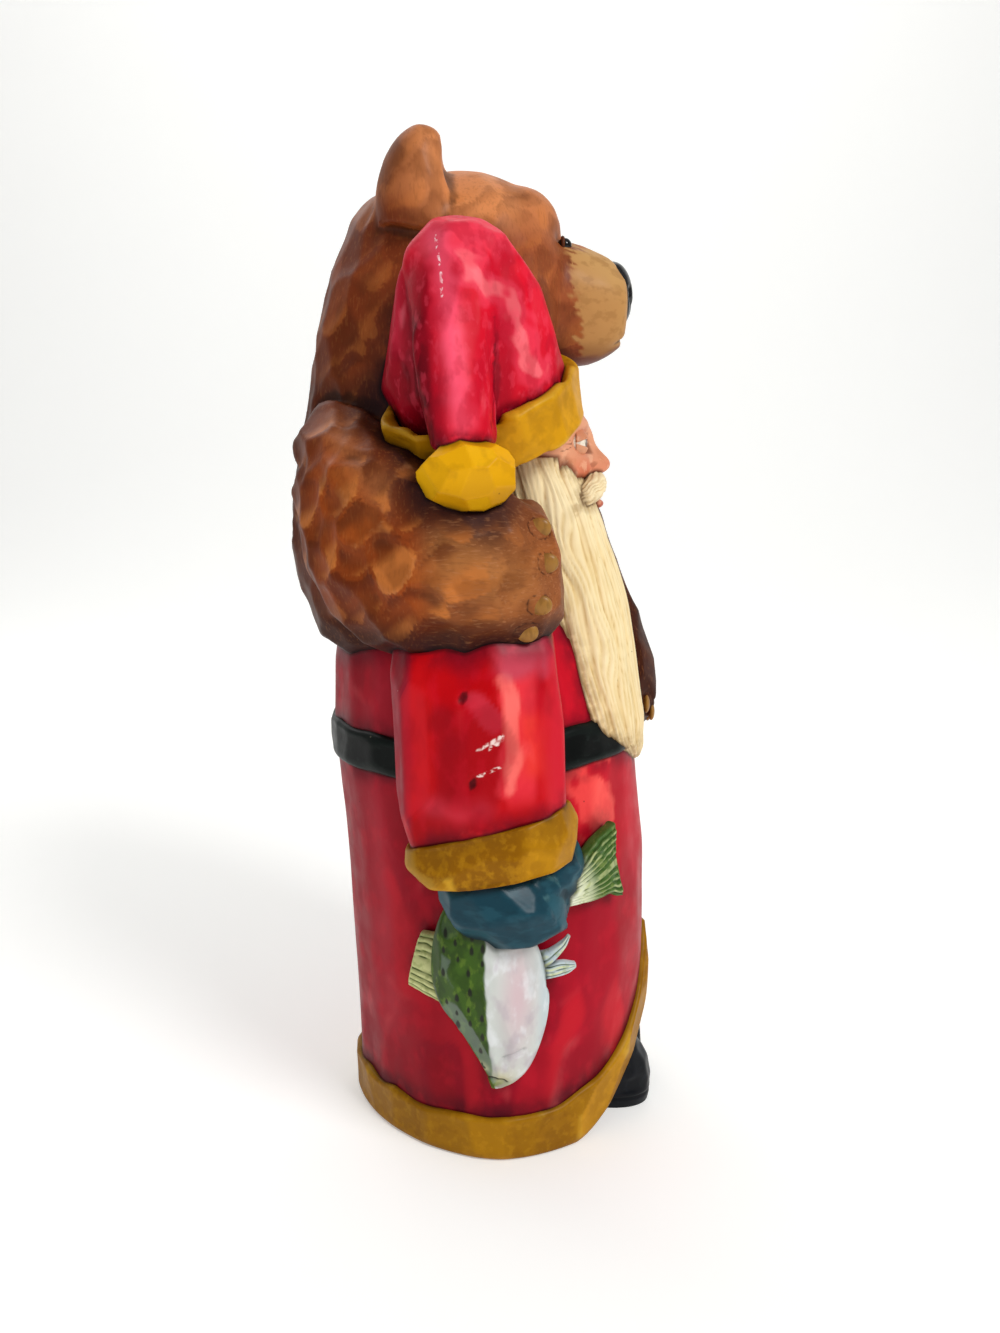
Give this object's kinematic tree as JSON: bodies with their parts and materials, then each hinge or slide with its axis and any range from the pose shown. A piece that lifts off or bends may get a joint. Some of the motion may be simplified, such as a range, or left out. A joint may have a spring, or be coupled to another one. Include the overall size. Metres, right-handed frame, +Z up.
{
  "type": "santa and bear figurine",
  "caption": "Painted cast figurine in carved-wood style: Santa stands holding a trout by the tail, and a bear hugs him from behind. It stands on its flat underside.",
  "frame": {"origin": "centre of the flat underside, below the middle of the coat", "axes": "+Z up; Santa faces -Y; his right hand, with the trout, is at -X"},
  "size_m": [0.1314, 0.1143, 0.2933],
  "materials": {
    "coat_red": "satin",
    "trim_mustard": "satin",
    "bear_brown": "satin",
    "black_gloss": "satin",
    "beard_cream": "matte",
    "skin": "matte",
    "mitten_teal": "satin",
    "trout_green": "satin"
  },
  "bodies": {
    "root": {"santa_and_bear_figurine": "coat_red"}
  },
  "joints": []
}
